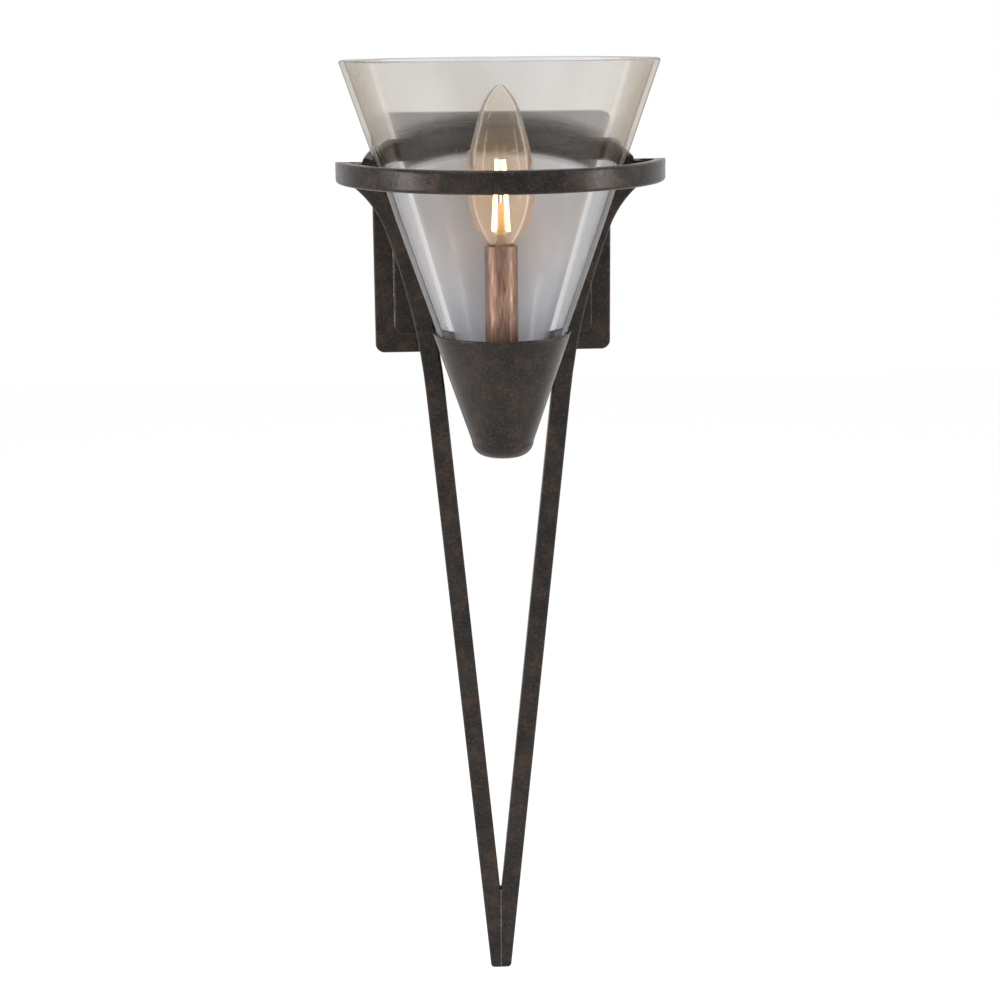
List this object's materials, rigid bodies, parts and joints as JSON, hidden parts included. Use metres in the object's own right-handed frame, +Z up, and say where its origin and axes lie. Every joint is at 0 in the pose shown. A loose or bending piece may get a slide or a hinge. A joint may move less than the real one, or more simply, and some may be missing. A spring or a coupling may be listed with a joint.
{
  "type": "torch wall sconce",
  "caption": "Wall light shaped like a torch: a candle bulb in a clear glass cone, held by a round band and a cup, with long legs that meet in a point below.",
  "frame": {"origin": "middle of the mounting bar's back face, on the wall and in the middle of the square cover", "axes": "+Y points into the wall, +Z up along the torch, +X to the right when the light is seen from the room"},
  "size_m": [0.168, 0.187, 0.5327],
  "materials": {
    "bronze": "satin, mottled with rust-coloured flecks",
    "bronze_nuts": "satin, mottled",
    "bronze_arm": "satin, mottled",
    "steel": "zinc plated",
    "green_screw": "green dyed screw",
    "brass_parts": "plain brass",
    "felt": "black cork rubber",
    "shade_glass": "clear, smooth",
    "sleeve_copper": "brushed coppery brown",
    "porcelain": "glazed",
    "bulb_glass": "clear, thin",
    "bulb_nickel": "nickel plated",
    "stem_glass": "clear",
    "filament": "glowing coated filament",
    "black_lead": "smooth insulation",
    "white_lead": "smooth insulation",
    "connector_plastic": "moulded"
  },
  "bodies": {
    "frame": {"backplate": "bronze", "front_band": "bronze", "rear_strap": "bronze", "strap_pad": "bronze", "leg_right": "bronze", "leg_left": "bronze", "cup": "bronze", "cup_boss": "steel", "cap_nuts": "bronze_nuts", "arm_tube": "bronze_arm", "arm_collar": "bronze_arm", "arm_nuts": "steel", "mounting_bar": "steel", "cover_studs": "steel", "ground_screw": "green_screw", "pad_screws": "steel", "nipple": "steel", "nipple_nuts": "brass_parts", "seat_plate": "steel", "glass_gasket": "felt", "candle_sleeve": "sleeve_copper", "socket_hanger": "steel", "socket_body": "porcelain", "socket_shell": "brass_parts", "socket_contact": "brass_parts", "live_lead": "black_lead", "neutral_lead": "white_lead", "wire_connectors": "connector_plastic"},
    "shade": {"glass_shade": "shade_glass"},
    "bulb_tip": {"bulb_contact": "bulb_nickel"},
    "bulb": {"bulb_envelope": "bulb_glass", "bulb_base": "bulb_nickel", "bulb_stem": "stem_glass", "bulb_filaments": "filament", "filament_wires": "bulb_nickel"}
  },
  "joints": [
    {"name": "shade_lift", "type": "slide", "parent": "frame", "child": "shade", "axis": [0, 0, 1], "range_m": [0, 0.16]},
    {"name": "bulb_rise", "type": "slide", "parent": "frame", "child": "bulb_tip", "axis": [0, 0, 1], "range_m": [0, 0.01524]},
    {"name": "bulb_turn", "type": "hinge", "parent": "bulb_tip", "child": "bulb", "pos_m": [0, -0.103, 0], "axis": [0, 0, 1], "range_deg": [0, 2160]}
  ],
  "couplings": [
    {"joint": "bulb_rise", "follows": "bulb_turn", "m_per_rad": 0.00040425}
  ]
}
